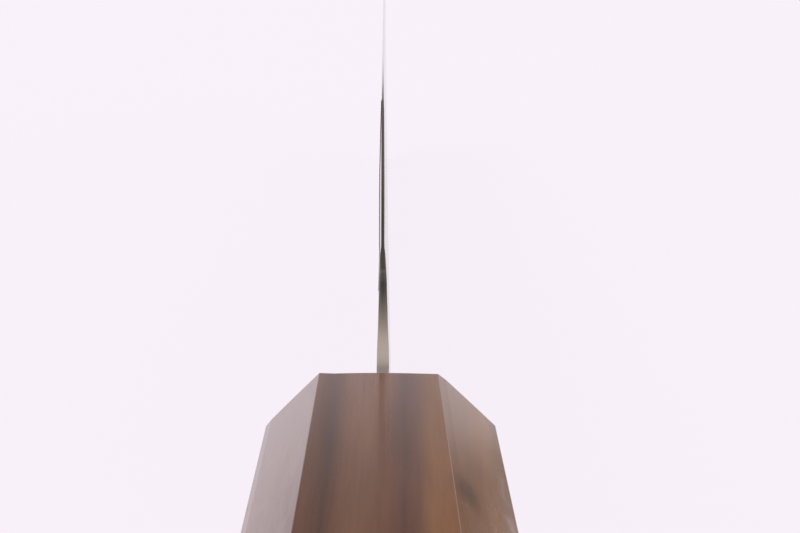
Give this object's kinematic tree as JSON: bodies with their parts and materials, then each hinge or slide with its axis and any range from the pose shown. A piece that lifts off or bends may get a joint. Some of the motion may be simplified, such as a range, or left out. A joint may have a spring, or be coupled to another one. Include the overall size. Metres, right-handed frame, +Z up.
{
  "type": "kiritsuke knife",
  "caption": "Kitchen knife with a laminated, slant-tipped blade and an octagonal wooden handle with a ferrule, standing on its spine with the edge up.",
  "frame": {"origin": "on the surface that the knife rests on, under the middle of its whole length and width", "axes": "+Y from the butt of the handle to the tip, +X to the right seen from behind the handle, +Z up, towards the cutting edge"},
  "size_m": [0.0244, 0.398, 0.0519],
  "materials": {
    "core_steel": "satin, polished at the edge",
    "cladding_steel": "fine satin, brushed along the blade",
    "ferrule_wood": "oiled, smooth",
    "handle_wood": "oiled, smooth",
    "dowel_wood": "bare",
    "resin": "cured resin",
    "seal_filler": "matt"
  },
  "bodies": {
    "root": {"core_steel": "core_steel", "right_cladding": "cladding_steel", "left_cladding": "cladding_steel", "ferrule": "ferrule_wood", "handle_body": "handle_wood", "tang_dowel": "dowel_wood", "tang_adhesive": "resin", "mouth_seal": "seal_filler"}
  },
  "joints": []
}
